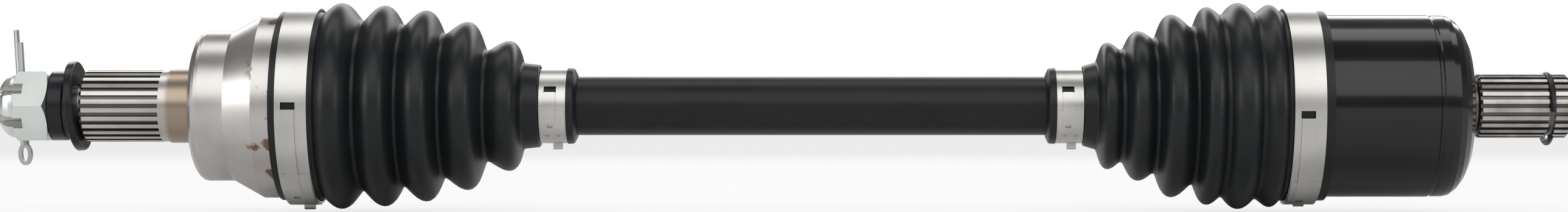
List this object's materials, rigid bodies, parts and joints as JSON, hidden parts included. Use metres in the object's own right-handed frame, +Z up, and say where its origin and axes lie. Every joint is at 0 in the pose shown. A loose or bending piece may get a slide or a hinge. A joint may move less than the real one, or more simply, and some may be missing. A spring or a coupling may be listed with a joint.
{
  "type": "cv axle",
  "caption": "Drive axle with a fixed ball joint and threaded stub at one end, a plunging ball joint and splined stub at the other, and bellows boots held by bands.",
  "frame": {"origin": "on the axle's axis, at the middle of its length", "axes": "+X along the bar from the wheel end to the inner end, +Z up"},
  "size_m": [0.6207, 0.0816, 0.0816],
  "materials": {
    "machined_steel": "bare turned steel with a light oil film, faint lathe lines and some brown heat tint",
    "zinc_plate": "bright zinc plate",
    "pin_zinc": "dull grey zinc plate",
    "black_oxide": "black oxide, semi-gloss",
    "gloss_black": "gloss black paint",
    "satin_black": "satin black paint",
    "boot_rubber": "satin black moulded rubber",
    "band_steel": "stainless band, lightly brushed",
    "ground_steel": "hardened and ground steel",
    "spring_steel": "dark spring steel"
  },
  "bodies": {
    "shaft": {"axle_shaft": "satin_black", "outboard_inner_race": "ground_steel", "outboard_race_circlip": "spring_steel", "outboard_stop_ring": "spring_steel", "outboard_small_clamp": "band_steel", "inboard_inner_race": "ground_steel", "inboard_race_circlip": "spring_steel", "inboard_stop_ring": "spring_steel", "inboard_small_clamp": "band_steel"},
    "outboard_boot_body": {"outboard_boot": "boot_rubber"},
    "outboard_cage_body": {"outboard_cage": "ground_steel", "outboard_ball_1": "ground_steel", "outboard_ball_2": "ground_steel", "outboard_ball_3": "ground_steel", "outboard_ball_4": "ground_steel", "outboard_ball_5": "ground_steel", "outboard_ball_6": "ground_steel"},
    "wheel_end": {"outboard_housing": "machined_steel", "castle_nut": "zinc_plate", "cotter_pin": "pin_zinc", "collar_washer": "black_oxide", "flange_washer": "black_oxide", "outboard_large_clamp": "band_steel"},
    "inboard_cage_body": {"inboard_cage": "ground_steel", "inboard_ball_1": "ground_steel", "inboard_ball_2": "ground_steel", "inboard_ball_3": "ground_steel", "inboard_ball_4": "ground_steel", "inboard_ball_5": "ground_steel", "inboard_ball_6": "ground_steel"},
    "inboard_boot_body": {"inboard_boot": "boot_rubber"},
    "inner_end": {"inboard_housing": "gloss_black", "cup_retaining_ring": "spring_steel", "stub_circlip": "spring_steel", "inboard_large_clamp": "band_steel"}
  },
  "joints": [
    {"name": "wheel_end_steer", "type": "hinge", "parent": "shaft", "child": "outboard_boot_body", "pos_m": [-0.2035, 0, 0], "axis": [0, 0, 1], "range_deg": [-18, 18], "deforming": ["outboard_boot"]},
    {"name": "wheel_end_bend", "type": "hinge", "parent": "outboard_boot_body", "child": "wheel_end", "pos_m": [-0.2035, 0, 0], "axis": [0, 1, 0], "range_deg": [-30, 30]},
    {"name": "outboard_cage_bend", "type": "hinge", "parent": "outboard_boot_body", "child": "outboard_cage_body", "pos_m": [-0.2035, 0, 0], "axis": [0, 1, 0], "range_deg": [-15, 15]},
    {"name": "inner_end_swing", "type": "hinge", "parent": "shaft", "child": "inboard_cage_body", "pos_m": [0.22, 0, 0], "axis": [0, 0, 1], "range_deg": [-13, 13]},
    {"name": "inner_end_bend", "type": "hinge", "parent": "inboard_cage_body", "child": "inboard_boot_body", "pos_m": [0.22, 0, 0], "axis": [0, 1, 0], "range_deg": [-13, 13], "deforming": ["inboard_boot"]},
    {"name": "inner_end_plunge", "type": "slide", "parent": "inboard_boot_body", "child": "inner_end", "axis": [1, 0, 0], "range_m": [-0.012, 0.006]}
  ],
  "couplings": [
    {"joint": "outboard_cage_bend", "follows": "wheel_end_bend", "ratio": 0.5}
  ]
}
